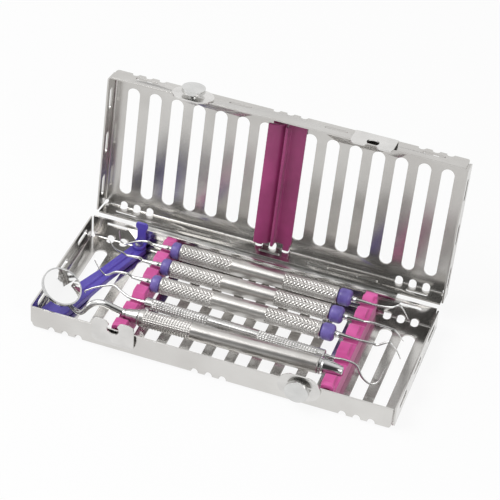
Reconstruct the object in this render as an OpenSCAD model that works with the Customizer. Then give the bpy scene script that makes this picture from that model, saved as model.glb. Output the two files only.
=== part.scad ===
// Cassette that carries a set of dental instruments through cleaning and sterilising.
// A folded steel tray and lid on a pin hinge, two quarter-turn latches, silicone rails,
// five instruments and a swinging accessory arm. Origin: centre of the tray's underside.

/* [Case] */
// Length of the case, left to right
case_l = 203; // [190:1:230]
// Width of the case, front to back
case_w = 85.5; // [82:0.5:100]
// Height of the tray
base_h = 14.2; // [13.5:0.1:18]
// Height of the lid
lid_h = 12.2; // [12:0.1:16]
// Thickness of the steel sheet
sheet = 0.9; // [0.7:0.1:1.2]
// Inside radius of every fold
fold_r = 1; // [0.6:0.1:1.6]
// Rounding of each wall's two lower corners
wall_corner_r = 3.8; // [2.5:0.1:5]
// Distance that each wall stops short of the case corner
seam = 1.5; // [1.2:0.1:2]
// Gap between the two rims when the lid is shut
rim_gap = 0.2; // [0.2:0.1:0.6]
// Angle that the lid opens
lid_open = 98.5; // [90:0.5:110]

/* [Perforation] */
// Number of long slots in floor and lid
slot_count = 15; // [9:2:17]
// Spacing of the long slots
slot_pitch = 12.8; // [11:0.1:14]
// Width of the long slots
slot_w = 7.2; // [4:0.1:8]
// Length of the slots in the tray's floor
floor_slot_l = 62.2; // [40:0.1:66]
// Length of the slots in the lid's panel
lid_slot_l = 66.8; // [40:0.1:70]
// Distance from the middle to the outer groups of fold notches
notch_group_x = 81.4; // [60:0.1:85]
// Spacing of the notches in a group
notch_pitch = 7.8; // [6:0.1:10]
// Width of a fold notch
notch_w = 4.2; // [3:0.1:5]
// Height that a fold notch reaches up the wall
notch_up = 3.6; // [2.5:0.1:5]
// Distance that a fold notch reaches in over the floor
notch_in = 4.4; // [3:0.1:5.5]
// Length of the slots in the side walls
side_slot_l = 13; // [8:0.5:18]
// Width of the slots in the side walls
side_slot_w = 3.5; // [2:0.1:4.5]
// Spacing of the slots in the side walls
side_slot_pitch = 27.5; // [18:0.5:30]
// Distance from the rim to the middle of the wall slots
wall_slot_drop = 5; // [4:0.1:7]
// Length of the slits in the back and front walls
slit_l = 12.5; // [8:0.5:16]
// Width of the slits in the back and front walls
slit_w = 2.2; // [1.5:0.1:3]
// Spacing of the slits in the lid's back wall
back_slit_pitch = 28.5; // [20:0.5:30]

/* [Hinge] */
// Distance of the hinge pin behind the case
hinge_back = 2; // [1.9:0.1:3]
// Distance of the hinge pin below the tray's rim
hinge_drop = 4.3; // [4:0.1:6]
// Length of the hinge
hinge_l = 152; // [100:1:180]
// Number of knuckles
knuckles = 13; // [9:2:17]
// Outside diameter of a knuckle
knuckle_d = 3.2; // [2.8:0.1:3.8]
// Diameter of the hinge pin
hinge_pin_d = 1.6; // [1.2:0.1:2]
// Thickness of the hinge leaves
leaf_t = 0.8; // [0.6:0.1:1]
// Depth that each leaf covers of its own wall
leaf_cover = 7.6; // [5:0.1:9]

/* [Latches] */
// Place of the latch on the tray, from the middle
base_latch_x = 49.5; // [40:0.5:56]
// Place of the latch on the lid, from the middle
lid_latch_x = -53; // [-60:0.5:-45]
// Distance of a latch knob's axis from its own rim
latch_drop = 2.3; // [2.2:0.1:3]
// Width of the latch and keeper plates
latch_plate_w = 23.5; // [20:0.5:26]
// Height of a latch plate
latch_plate_h = 15.8; // [15:0.1:16]
// Thickness of the latch and keeper plates
plate_t = 0.9; // [0.7:0.1:1.2]
// Height that the keeper's ears stand past the rim
ear_h = 7.6; // [7.4:0.1:9]
// Diameter of a latch knob's cap
cap_d = 13; // [10:0.5:14]
// Height of the cap's straight side
cap_side_h = 2.2; // [2:0.1:4]
// Height of the cap's dome
cap_dome_h = 1; // [0.8:0.1:2]
// Length of the knob's neck between plate and cap
neck_l = 1.8; // [1.7:0.1:3]
// Width of the neck across its flats
neck_flat = 4.7; // [4:0.1:5]
// Width of the neck across its rounds
neck_d = 6.5; // [6:0.1:7]
// Diameter of the knob's shaft through the wall
shaft_d = 3; // [2.4:0.1:3.2]
// Diameter of the retaining washer inside the wall
washer_d = 4.4; // [4:0.1:4.6]

/* [Silicone rails] */
// Middle of the left rail
left_rail_x = -52.7; // [-56:0.1:-50]
// Width of the left rail
left_rail_w = 7.4; // [7:0.1:12]
// Middle of the right rail
right_rail_x = 63.6; // [60:0.1:68]
// Width of the right rail
right_rail_w = 8.2; // [7:0.1:12]
// Spacing of the instruments
pitch = 15.3; // [14.5:0.1:17]
// Place of the rearmost instrument
first_y = 33.3; // [32:0.1:35]
// Height that the rails' front tabs reach
front_tab_top = 16; // [14:0.1:17]
// Thickness of the rails' end tabs
tab_t = 2.6; // [2:0.1:3]
// Clearance between the silicone and the instruments
seat_gap = 0.15; // [0.1:0.05:0.4]

/* [Lid strip] */
// Width of the strip's flange on the panel
strip_flange_w = 19; // [14:0.5:24]
// Thickness of the flange, web and flap
strip_t = 1.6; // [1:0.1:2.2]
// Length of the strip
strip_l = 75; // [60:0.5:78]
// Radius of the strip's curved flap
flap_r = 11; // [10:0.5:14]
// Clearance between the strip's ridge and the instruments
strip_gap = 0.35; // [0.3:0.05:1]

/* [Instruments] */
// Diameter of the large handles
handle_d = 9.5; // [8:0.1:9.8]
// Height of the handles' axes above the table
axis_z = 12.8; // [12:0.1:13.2]
// Place of the large handles' left ends
handle_left = -49.7; // [-52:0.1:-48]
// Place of the large handles' right ends
handle_right = 54.5; // [50:0.1:56]
// Length of the colour band at the left end
left_band_l = 5.5; // [4:0.1:8]
// Length of the colour band at the right end
right_band_l = 7.5; // [4:0.1:9]
// Length of the cone from handle to shank
cone_l = 11.5; // [10:0.1:14]
// Diameter of a cone where it leaves the handle
cone_d = 3.8; // [3:0.1:4.6]
// Diameter of a shank where it leaves the cone
shank_d = 1.7; // [1.4:0.1:2.6]
// Diameter of a working tip at its end
point_d = 0.5; // [0.4:0.1:0.8]
// Diameter of the explorer's handle
explorer_d = 6.5; // [5:0.1:7]
// Height of the explorer's axis above the table
explorer_z = 11.4; // [11:0.1:12.8]
// Height of the mirror handle's axis above the table
mirror_z = 13.2; // [12.6:0.1:13.4]
// Outside diameter of the mirror's cup
mirror_d = 22.6; // [20:0.1:25]
// Thickness of the mirror's cup
mirror_t = 1.8; // [1.4:0.1:2.4]
// Diameter of the mirror's stem at the collar
stem_d = 4.2; // [3:0.1:4.4]
// Diameter of the mirror's stem at the cup
stem_end_d = 2.2; // [1.6:0.1:2.6]

/* [Accessory arm] */
// Diameter of the arm's hub
hub_d = 8; // [6:0.5:8.5]
// Diameter of the arm's pivot pin
pivot_d = 3; // [2.4:0.1:3.6]
// Thickness of the arm
arm_t = 3.6; // [2:0.1:3.8]
// Width of the arm at its waist
arm_waist = 8.5; // [5:0.5:9]
// Width of the paddle at the arm's end
paddle_w = 13; // [10:0.5:14]
// Length of the arm from pivot to the paddle's end
arm_l = 75; // [60:0.5:76]
// Height of the thumb tab above the tray's rim
thumb_h = 5.2; // [4:0.1:7]

/* [Hidden] */
$fn = 64;
slack = 1;
run_fit = 0.05;
clear = 0.3;

bend_r = fold_r + sheet;
in_l = case_l / 2 - sheet;
in_w = case_w / 2 - sheet;
rim_lid = base_h + rim_gap;
lid_top = rim_lid + lid_h;
panel_z = lid_top - sheet;

hinge_y = case_w / 2 + hinge_back;
hinge_z = base_h - hinge_drop;
knuckle_l = (hinge_l - (knuckles - 1) * clear) / knuckles;
leaf_end = knuckle_d / 2 + clear;
stop_w = knuckle_l * 0.8;

tongue_h = latch_plate_h / 2 - latch_drop;
tongue_out = clear;
keeper_out = tongue_out + plate_t + 0.5;
keeper_low = 10;
notch_d = neck_d + 0.3;
mouth_w = neck_flat + 0.3;
ear_r = 3;
ear_w = (latch_plate_w - mouth_w) / 2;

strip_ridge = mirror_z + handle_d / 2 + strip_gap;
rail_top = axis_z + 0.6;
tooth_l = 6;
ledge_drop = 1.4;
rail_back = in_w - tab_t;
rail_front = -in_w + 1.55 + tab_t;

handle_r = handle_d / 2;
cone_r = cone_d / 2;
band_ease = 2;
spigot_r = handle_r - band_ease - 0.2;

arm_inset = 31;
pivot_x = arm_inset - case_l / 2;
pivot_y = in_w - hub_d / 2 - 0.85;
arm_z = sheet + 0.4;
arm_angle = 18;
lug_t = 1.6;
paddle_l = 12;
rib_h = 0.8;
upright_w = 5;
thumb_w = 7;
tip_roll = 75;
probe_left_roll = 30;
probe_right_roll = 50;
bar_sides = 12;
bar_steps = 4;
explorer_r = explorer_d / 2;
explorer_l = 101.5;
explorer_mid = handle_left + 53.35;
explorer_left = [explorer_mid - explorer_l / 2, first_y - 3 * pitch + 0.1, explorer_z];
explorer_yaw = -1.1;
explorer_cone_l = 5;
explorer_cone_r = 1.5;
mirror_left = [handle_left - 4.9, first_y - 4 * pitch + 1, mirror_z];
mirror_yaw = 1.3;
mirror_handle_l = 109;
mirror_collar_l = 9.6;
ferrule_r = 2.5;
mirror_end_l = 13;
mirror_tilt = [6.9, 29.2, 0];
mirror_at = [-90.4, -26.6, 18.3];

// Working tips: [distance past the cone, offset from the axis] along each tip.
sickle_left = [[0, 0], [3.8, 0.7], [9, -0.8], [13.5, -3.2], [16.3, -4.3], [18.5, -3.4], [19.5, -0.6], [20.2, 2.8]];
curette_left = [[0, 0], [2, 1.2], [9, 0.6], [11.5, 1.4], [15.7, 2.4], [17.8, 3.8], [20.2, 6.5]];
scaler_left = [[0, 0], [3, 1.2], [9.2, 0.5], [12.9, -2], [15.1, -3.1], [17, -2.2], [19.7, 0.3], [22.4, 4]];
sickle_right = [[0, 0], [5.2, 0.4], [11.2, 1.6], [14.8, 3.8], [17.3, 2.1], [21.1, -2.8]];
curette_right = [[0, 0], [5, 0.8], [14.8, 0.4], [18.3, -0.3], [23, -4.9]];
scaler_right = [[0, 0], [9.4, 0.3], [12.1, 0.2], [17.6, 3.7], [20, 2.6], [22.6, 0.4], [25.6, -4.1]];
probe_left = [[0, 0], [5, 0.3], [10.6, 2.4], [15.6, 4.2], [23.9, 0.6], [28.4, -2.6], [29.4, -3.6], [28.6, -4.2]];
probe_right = [[0, 0], [5.6, 0.7], [12.4, -0.1], [16.6, -4.6], [19.8, -6.8], [22.8, -7.4], [26.1, -5.2], [27.2, -0.4], [28.1, 2.7]];
stem_route = [[-0.35, 0, 0.3], [-5.4, 0.1, 1.6], [-10.8, 0.2, 2.7], [-16, 0.2, 1.6], [-19.4, -0.6, -1.4],
    [-22.9, -2.1, -5.5], [-27.2, -1.5, -5.4], [-32, -0.2, -2.5], [-34.4, 0.8, 1.3], [-33.3, 0.5, 3.4]];

// Which piece to draw

// Flat shapes

module slot_2d(length, width) {
    square([length - width, width], center = true);
    for (side = [-1, 1])
        translate([side * (length - width) / 2, 0])
            circle(d = width);
}

module channel_2d(width, height, radius) {
    translate([-width / 2, radius])
        square([width, height - radius]);
    translate([radius - width / 2, 0])
        square([width - 2 * radius, height]);
    for (side = [-1, 1])
        translate([side * (width / 2 - radius), radius])
            circle(radius);
}

module folded_2d(width, height) {
    difference() {
        channel_2d(width, height, bend_r);
        translate([0, sheet])
            channel_2d(width - 2 * sheet, height, fold_r);
    }
}

module plate_2d(width, low, high, radius) {
    translate([-width / 2, low + radius])
        square([width, high - low - 2 * radius]);
    translate([radius - width / 2, low])
        square([width - 2 * radius, high - low]);
    for (side = [-1, 1])
        for (end = [low + radius, high - radius])
            translate([side * (width / 2 - radius), end])
                circle(radius);
}

// Folded steel shells

module sheet_run(length, across, height) {
    intersection() {
        rotate([90, 0, 90])
            linear_extrude(length, center = true)
                folded_2d(across, height);
        rotate([90, 0, 0])
            linear_extrude(across + 2 * slack, center = true)
                channel_2d(length, height, wall_corner_r);
    }
}

module long_slots(length) {
    for (i = [0 : slot_count - 1])
        translate([(i - (slot_count - 1) / 2) * slot_pitch, 0, -slack])
            linear_extrude(sheet + 2 * slack)
                rotate(90)
                    slot_2d(length, slot_w);
}

module fold_notch() {
    translate([0, -bend_r / 2 + slack / 2, 0])
        rotate([90, 0, 0])
            linear_extrude(bend_r + slack, center = true) {
                translate([-notch_w / 2, -slack])
                    square([notch_w, notch_up - notch_w / 2 + slack]);
                translate([0, notch_up - notch_w / 2])
                    circle(d = notch_w);
            }
    translate([0, 0, -slack])
        linear_extrude(bend_r + slack) {
            translate([-notch_w / 2, notch_w / 2 - notch_in])
                square([notch_w, notch_in - notch_w / 2 + slack]);
            translate([0, notch_w / 2 - notch_in])
                circle(d = notch_w);
        }
}

module fold_notches() {
    for (group = [-1, 0, 1])
        for (k = [-1, 0, 1])
            for (turn = [0, 180])
                rotate(turn)
                    translate([group * notch_group_x + k * notch_pitch, case_w / 2, 0])
                        fold_notch();
}

module wall_slot(length, width) {
    rotate([90, 0, 0])
        linear_extrude(sheet + 2 * slack, center = true)
            slot_2d(length, width);
}

module side_slots(height) {
    for (side = [-1, 1])
        for (k = [-1, 0, 1])
            translate([side * (case_l - sheet) / 2, k * side_slot_pitch, height - wall_slot_drop])
                rotate(90)
                    wall_slot(side_slot_l, side_slot_w);
}

module shell(height, slot_length) {
    difference() {
        union() {
            sheet_run(case_l - 2 * seam, case_w, height);
            rotate(90)
                sheet_run(case_w - 2 * seam, case_l, height);
        }
        long_slots(slot_length);
        fold_notches();
        side_slots(height);
    }
}

module base_tray() {
    color([0.82, 0.82, 0.8])
        difference() {
            shell(base_h, floor_slot_l);
            for (k = [-1, 1])
                translate([k * 3 * back_slit_pitch, (case_w - sheet) / 2, hinge_z + 1.2])
                    wall_slot(slit_l, slit_w);
            translate([base_latch_x, -(case_w - sheet) / 2, base_h - latch_drop])
                rotate([90, 0, 0])
                    cylinder(h = sheet + 2 * slack, d = shaft_d + 2 * run_fit, center = true);
        }
}

module lid_frame() {
    translate([0, hinge_y, hinge_z])
        rotate([-lid_open, 0, 0])
            translate([0, -hinge_y, -hinge_z])
                children();
}

module lid_cover() {
    color([0.78, 0.78, 0.76])
        lid_frame()
            translate([0, 0, lid_top])
                mirror([0, 0, 1])
                    difference() {
                        shell(lid_h, lid_slot_l);
                        for (k = [-3 : 3])
                            translate([k * back_slit_pitch, (case_w - sheet) / 2, lid_h - wall_slot_drop])
                                wall_slot(slit_l, slit_w);
                        for (k = [-3, -1, 1, 3])
                            translate([k * back_slit_pitch * 0.95, -(case_w - sheet) / 2, lid_h - wall_slot_drop - 1])
                                wall_slot(slit_l, slit_w);
                        translate([lid_latch_x, -(case_w - sheet) / 2, lid_h - latch_drop])
                            rotate([90, 0, 0])
                                cylinder(h = sheet + 2 * slack, d = shaft_d + 2 * run_fit, center = true);
                    }
}

// Pin hinge

function knuckle_x(i) = -hinge_l / 2 + knuckle_l / 2 + i * (knuckle_l + clear);

module knuckle(i) {
    translate([knuckle_x(i), hinge_y, hinge_z])
        rotate([0, 90, 0])
            cylinder(h = knuckle_l, d = knuckle_d, center = true);
}

module pin_bore() {
    translate([0, hinge_y, hinge_z])
        rotate([0, 90, 0])
            cylinder(h = hinge_l + 2 * slack, d = hinge_pin_d + 2 * run_fit, center = true);
}

module stop_tongue() {
    foot = hinge_z - leaf_end - 1.6;
    reach = hinge_y + 5.8;
    top = hinge_z + 0.1;
    rotate([90, 0, 90])
        linear_extrude(stop_w, center = true)
            polygon([[case_w / 2, foot - leaf_t], [reach, foot - leaf_t], [reach, top],
                [reach - leaf_t, top], [reach - leaf_t, foot], [case_w / 2, foot]]);
}

module base_hinge_leaf() {
    low = hinge_z - leaf_end - leaf_cover + 1.4;
    color([0.7, 0.7, 0.7])
        difference() {
            union() {
                translate([-hinge_l / 2, case_w / 2, low])
                    cube([hinge_l, leaf_t, hinge_z - leaf_end - low]);
                for (i = [0 : 2 : knuckles - 1]) {
                    knuckle(i);
                    translate([knuckle_x(i) - knuckle_l / 2, case_w / 2, low])
                        cube([knuckle_l, leaf_t, hinge_z - low]);
                }
                for (i = [2, 6, 10])
                    translate([knuckle_x(i), 0, 0])
                        stop_tongue();
            }
            pin_bore();
        }
}

module lid_leaf_2d(low) {
    face = case_w / 2;
    polygon([[face + clear, low], [face + clear, rim_lid + 0.4], [face, rim_lid + 0.8],
        [face, rim_lid + leaf_cover], [face + leaf_t, rim_lid + leaf_cover], [face + leaf_t, rim_lid + 0.8],
        [face + leaf_t + clear, rim_lid + 0.4], [face + leaf_t + clear, low]]);
}

module lid_hinge_leaf() {
    color([0.7, 0.7, 0.7])
        lid_frame()
            difference() {
                union() {
                    rotate([90, 0, 90])
                        linear_extrude(hinge_l, center = true)
                            lid_leaf_2d(hinge_z + leaf_end);
                    for (i = [1 : 2 : knuckles - 2]) {
                        knuckle(i);
                        translate([knuckle_x(i), 0, 0])
                            rotate([90, 0, 90])
                                linear_extrude(knuckle_l, center = true)
                                    lid_leaf_2d(hinge_z);
                    }
                }
                pin_bore();
            }
}

module hinge_pin() {
    color([0.75, 0.75, 0.75])
        translate([0, hinge_y, hinge_z])
            rotate([0, 90, 0]) {
                cylinder(h = hinge_l + 1, d = hinge_pin_d, center = true);
                for (side = [-1, 1])
                    translate([0, 0, side * (hinge_l / 2 + 0.7)])
                        cylinder(h = 0.8, d = hinge_pin_d + 0.9, center = true);
            }
}

// Latches, drawn with the wall's outer face at y = 0 and the rim at z = 0

module base_front() {
    translate([0, -case_w / 2, base_h])
        children();
}

module lid_front() {
    lid_frame()
        translate([0, -case_w / 2, rim_lid])
            mirror([0, 0, 1])
                children();
}

module latch_plate() {
    low = -latch_drop - latch_plate_h / 2;
    step = 0.6 * latch_drop;
    difference() {
        intersection() {
            rotate([90, 0, 90])
                linear_extrude(latch_plate_w, center = true)
                    polygon([[0, low], [0, -step], [-tongue_out, -rim_gap], [-tongue_out, tongue_h],
                        [-tongue_out - plate_t, tongue_h], [-tongue_out - plate_t, -rim_gap],
                        [-plate_t, -step], [-plate_t, low]]);
            translate([0, 0, -latch_drop])
                rotate([90, 0, 0])
                    linear_extrude(4 * plate_t, center = true)
                        slot_2d(latch_plate_w, latch_plate_h);
        }
        translate([0, 0, -latch_drop])
            rotate([90, 0, 0])
                cylinder(h = 4 * plate_t, d = shaft_d + 2 * run_fit, center = true);
    }
}

module keeper_plate() {
    notch_z = latch_drop + rim_gap;
    bend = -tongue_h - 0.6;
    intersection() {
        rotate([90, 0, 90])
            linear_extrude(latch_plate_w, center = true)
                polygon([[0, -keeper_low], [0, bend - 0.9], [-keeper_out, bend], [-keeper_out, ear_h],
                    [-keeper_out - plate_t, ear_h], [-keeper_out - plate_t, bend - 0.4],
                    [-plate_t, bend - 1.3], [-plate_t, -keeper_low]]);
        rotate([90, 0, 0])
            linear_extrude(8 * plate_t, center = true)
                difference() {
                    union() {
                        plate_2d(latch_plate_w, -keeper_low, notch_z, ear_r);
                        for (side = [-1, 1])
                            translate([side * (latch_plate_w - ear_w) / 2, 0])
                                plate_2d(ear_w, notch_z - 2.5 * ear_r, ear_h, ear_r);
                    }
                    translate([0, notch_z])
                        circle(d = notch_d);
                }
    }
}

module latch_knob() {
    dome_r = (cap_d * cap_d / 4 + cap_dome_h * cap_dome_h) / (2 * cap_dome_h);
    neck_start = tongue_out + plate_t + run_fit;
    shaft_l = neck_start + sheet + 1.2;
    translate([0, 0, -latch_drop])
        rotate([90, 0, 0]) {
            translate([0, 0, neck_start - shaft_l])
                cylinder(h = shaft_l, d = shaft_d);
            translate([0, 0, neck_start])
                intersection() {
                    cylinder(h = neck_l, d = neck_d);
                    translate([0, 0, neck_l / 2])
                        cube([neck_flat, neck_d, neck_l + slack], center = true);
                }
            translate([0, 0, neck_start + neck_l]) {
                cylinder(h = cap_side_h, d = cap_d);
                translate([0, 0, cap_side_h])
                    intersection() {
                        translate([0, 0, cap_dome_h - dome_r])
                            sphere(dome_r);
                        cylinder(h = cap_dome_h + slack, d = cap_d);
                    }
            }
        }
}

module latch_washer() {
    translate([0, sheet + 2 * run_fit, -latch_drop])
        rotate([-90, 0, 0])
            difference() {
                cylinder(h = 0.8, d = washer_d);
                translate([0, 0, -slack])
                    cylinder(h = 3, d = shaft_d);
            }
}

module base_latch_plate() {
    color([0.86, 0.86, 0.84])
        base_front()
            translate([base_latch_x, 0, 0])
                latch_plate();
}

module base_keeper_plate() {
    color([0.86, 0.86, 0.84])
        base_front()
            translate([lid_latch_x, 0, 0])
                keeper_plate();
}

module base_latch_knob() {
    color([0.6, 0.6, 0.6])
        base_front()
            translate([base_latch_x, 0, 0])
                latch_knob();
}

module base_latch_washer() {
    color([0.6, 0.6, 0.6])
        base_front()
            translate([base_latch_x, 0, 0])
                latch_washer();
}

module lid_latch_plate() {
    color([0.86, 0.86, 0.84])
        lid_front()
            translate([lid_latch_x, 0, 0])
                latch_plate();
}

module lid_keeper_plate() {
    color([0.86, 0.86, 0.84])
        lid_front()
            translate([base_latch_x, 0, 0])
                keeper_plate();
}

module lid_latch_knob() {
    color([0.6, 0.6, 0.6])
        lid_front()
            translate([lid_latch_x, 0, 0])
                latch_knob();
}

module lid_latch_washer() {
    color([0.6, 0.6, 0.6])
        lid_front()
            translate([lid_latch_x, 0, 0])
                latch_washer();
}

// Instruments

module along_x(at, yaw) {
    translate(at)
        rotate([0, 0, yaw])
            rotate([0, 90, 0])
                children();
}

module trough(at, yaw, length, root) {
    low = root + seat_gap;
    top = at[2] - rail_top;
    wide = (pitch - tooth_l) / 2;
    along_x(at, yaw)
        translate([0, 0, -2 * cone_l])
            linear_extrude(length + 4 * cone_l)
                polygon([[low, -0.8 * root], [low, 0.8 * root], [top, wide], [top - slack, wide],
                    [top - slack, -wide], [top, -wide]]);
}

module seat_cuts() {
    for (i = [0 : 2]) {
        seat = [handle_left, first_y - i * pitch, axis_z];
        trough(seat, 0, handle_right - handle_left, cone_r);
        along_x(seat, 0)
            cylinder(h = handle_right - handle_left, r = handle_r + seat_gap);
    }
    trough(explorer_left, explorer_yaw, explorer_l, explorer_cone_r);
    along_x(explorer_left, explorer_yaw)
        cylinder(h = explorer_l, r = explorer_r + seat_gap);
    trough(mirror_left, mirror_yaw, mirror_handle_l, stem_d / 2);
    along_x(mirror_left, mirror_yaw) {
        translate([0, 0, -seat_gap])
            cylinder(h = mirror_collar_l + seat_gap, r1 = ferrule_r + seat_gap, r2 = handle_r + seat_gap);
        translate([0, 0, mirror_collar_l - 0.01])
            cylinder(h = mirror_handle_l - mirror_collar_l + 0.02, r = handle_r + seat_gap);
        translate([0, 0, mirror_handle_l])
            cylinder(h = mirror_end_l + 2, r1 = handle_r + seat_gap, r2 = handle_r / 2);
    }
}

module rail(middle, width, ledge) {
    face = middle + width / 2;
    difference() {
        union() {
            translate([middle - width / 2, rail_front, sheet])
                cube([width, rail_back - rail_front, rail_top - sheet]);
            translate([middle, rail_front + 0.01, 0])
                rotate([90, 0, 0])
                    linear_extrude(tab_t)
                        plate_2d(width - 1, sheet, front_tab_top, 2.5);
            translate([middle, in_w, 0])
                rotate([90, 0, 0])
                    linear_extrude(tab_t + 0.01)
                        plate_2d(width - 1, bend_r, base_h - 0.2, 1);
        }
        translate([middle, rail_front + slack, 0])
            rotate([90, 0, 0])
                linear_extrude(tab_t + 3)
                    plate_2d(width / 2 - 0.6, sheet + 4.8, front_tab_top - 2.4, 2);
        translate([0, rail_back, 0])
            rotate([90, 0, 0])
                linear_extrude(rail_back - rail_front)
                    polygon([[face - ledge, rail_top + slack], [face - ledge, rail_top - ledge_drop],
                        [face + slack, rail_top - ledge_drop - 1], [face + slack, rail_top + slack]]);
        seat_cuts();
    }
}

module left_rail() {
    color([0.8, 0.25, 0.55])
        rail(left_rail_x, left_rail_w, 0.6);
}

module right_rail() {
    color([0.8, 0.25, 0.55])
        rail(right_rail_x, right_rail_w, 2.2);
}

module strip_2d() {
    ridge = strip_ridge;
    translate([-strip_flange_w / 2 + 1, panel_z - strip_t])
        square([strip_flange_w, strip_t]);
    translate([0, ridge])
        square([strip_t, panel_z - ridge]);
    intersection() {
        translate([strip_t - flap_r + 0.4, ridge + flap_r])
            difference() {
                circle(flap_r);
                circle(flap_r - strip_t);
            }
        translate([-flap_r + 1.2, ridge])
            square([flap_r, flap_r / 2]);
    }
}

module lid_strip() {
    tab_end = case_w / 2 - 1.4;
    tab_root = case_w / 2 - notch_in + notch_w / 4;
    color([0.6, 0.2, 0.45])
        lid_frame() {
            rotate([90, 0, 0])
                linear_extrude(strip_l, center = true)
                    strip_2d();
            for (k = [-1, 1])
                translate([k * notch_pitch - notch_w / 2 + clear, 0, panel_z - strip_t]) {
                    translate([0, strip_l / 2 - 0.01, 0])
                        cube([notch_w - 2 * clear, tab_end - strip_l / 2, strip_t]);
                    translate([0, tab_root, 0])
                        cube([notch_w - 2 * clear, tab_end - tab_root, strip_t + sheet + clear]);
                }
        }
}

// A smooth curve through hand-picked points, and a tapered round bar swept along it

function pick(p, i) = p[max(0, min(len(p) - 1, i))];

function on_curve(p, i, t) =
    0.5 * (2 * pick(p, i) + (pick(p, i + 1) - pick(p, i - 1)) * t
    + (2 * pick(p, i - 1) - 5 * pick(p, i) + 4 * pick(p, i + 1) - pick(p, i + 2)) * t * t
    + (3 * pick(p, i) - pick(p, i - 1) - 3 * pick(p, i + 1) + pick(p, i + 2)) * t * t * t);

function smooth_route(p) =
    concat([for (i = [0 : len(p) - 2]) for (k = [0 : bar_steps - 1]) on_curve(p, i, k / bar_steps)], [pick(p, len(p))]);

function unit(v) = v / norm(v);

function ring(at, along, flat, radius) =
    let (n = unit(cross(flat, along)), b = cross(along, n))
    [for (k = [0 : bar_sides - 1]) at + radius * (cos(360 * k / bar_sides) * n + sin(360 * k / bar_sides) * b)];

module bar(route, radii, flat) {
    last = len(route) - 1;
    rings = [for (i = [0 : last]) ring(route[i], unit(pick(route, i + 1) - pick(route, i - 1)), flat, radii[i])];
    skin = [for (i = [0 : last - 1]) for (k = [0 : bar_sides - 1])
        let (a = i * bar_sides + k, b = i * bar_sides + (k + 1) % bar_sides)
        each [[a, a + bar_sides, b], [b, a + bar_sides, b + bar_sides]]];
    start = [for (k = [0 : bar_sides - 1]) k];
    finish = [for (k = [0 : bar_sides - 1]) (last + 1) * bar_sides - 1 - k];
    polyhedron([for (r = rings) each r], concat(skin, [start, finish]), convexity = 6);
}

function bar_radii(n, first, d_start, d_end) =
    concat([first], [for (i = [0 : n - 1]) (d_start + (d_end - d_start) * i / (n - 1)) / 2]);

module working_tip(points, way, roll, cone_length, wide) {
    route = smooth_route([for (p = points)
        [way * (cone_length + p[0]), p[1] * cos(roll), p[1] * sin(roll)]]);
    bar(concat([[0, 0, 0]], route), bar_radii(len(route), wide, shank_d, point_d), [0, -sin(roll), cos(roll)]);
}

module scaler_handle(y) {
    color([0.8, 0.8, 0.8])
        along_x([handle_left, y, axis_z], 0) {
            translate([0, 0, left_band_l])
                cylinder(h = handle_right - handle_left - left_band_l - right_band_l, r = handle_r);
            cylinder(h = handle_right - handle_left, r = spigot_r);
        }
}

module band_2d(length) {
    difference() {
        union() {
            square([handle_r - band_ease, length]);
            translate([0, band_ease])
                square([handle_r, length - 2 * band_ease]);
            for (end = [band_ease, length - band_ease])
                translate([handle_r - band_ease, end])
                    circle(band_ease);
        }
        translate([-slack, -slack])
            square([spigot_r + slack, length + 2 * slack]);
    }
}

module band(x, length, y) {
    color([0.5, 0.42, 0.75])
        along_x([x, y, axis_z], 0)
            rotate_extrude()
                band_2d(length);
}

module left_tip(y, points, roll) {
    color([0.85, 0.85, 0.85])
        translate([handle_left, y, axis_z])
            working_tip(points, -1, roll, cone_l, cone_r);
}

module right_tip(y, points, roll) {
    color([0.85, 0.85, 0.85])
        translate([handle_right, y, axis_z])
            working_tip(points, 1, roll, cone_l, cone_r);
}

module scaler_1_handle() { scaler_handle(first_y); }
module scaler_1_left_band() { band(handle_left, left_band_l, first_y); }
module scaler_1_right_band() { band(handle_right - right_band_l, right_band_l, first_y); }
module scaler_1_left_tip() { left_tip(first_y, sickle_left, tip_roll); }
module scaler_1_right_tip() { right_tip(first_y, sickle_right, tip_roll); }

module scaler_2_handle() { scaler_handle(first_y - pitch); }
module scaler_2_left_band() { band(handle_left, left_band_l, first_y - pitch); }
module scaler_2_right_band() { band(handle_right - right_band_l, right_band_l, first_y - pitch); }
module scaler_2_left_tip() { left_tip(first_y - pitch, curette_left, tip_roll); }
module scaler_2_right_tip() { right_tip(first_y - pitch, curette_right, tip_roll); }

module scaler_3_handle() { scaler_handle(first_y - 2 * pitch); }
module scaler_3_left_band() { band(handle_left, left_band_l, first_y - 2 * pitch); }
module scaler_3_right_band() { band(handle_right - right_band_l, right_band_l, first_y - 2 * pitch); }
module scaler_3_left_tip() { left_tip(first_y - 2 * pitch, scaler_left, tip_roll); }
module scaler_3_right_tip() { right_tip(first_y - 2 * pitch, scaler_right, tip_roll); }

module explorer_frame() {
    translate(explorer_left)
        rotate([0, 0, explorer_yaw])
            children();
}

module explorer_handle() {
    color([0.75, 0.75, 0.75])
        explorer_frame()
            rotate([0, 90, 0])
                cylinder(h = explorer_l, r = explorer_r);
}

module explorer_left_tip() {
    color([0.85, 0.85, 0.85])
        explorer_frame()
            working_tip(probe_left, -1, probe_left_roll, explorer_cone_l, explorer_cone_r);
}

module explorer_right_tip() {
    color([0.85, 0.85, 0.85])
        explorer_frame()
            translate([explorer_l, 0, 0])
                working_tip(probe_right, 1, probe_right_roll, explorer_cone_l, explorer_cone_r);
}

module mirror_frame() {
    translate(mirror_left)
        rotate([0, 0, mirror_yaw])
            children();
}

module mirror_collar() {
    color([0.7, 0.7, 0.7])
        mirror_frame()
            rotate([0, 90, 0])
                cylinder(h = mirror_collar_l, r1 = ferrule_r, r2 = handle_r - 0.5);
}

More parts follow.
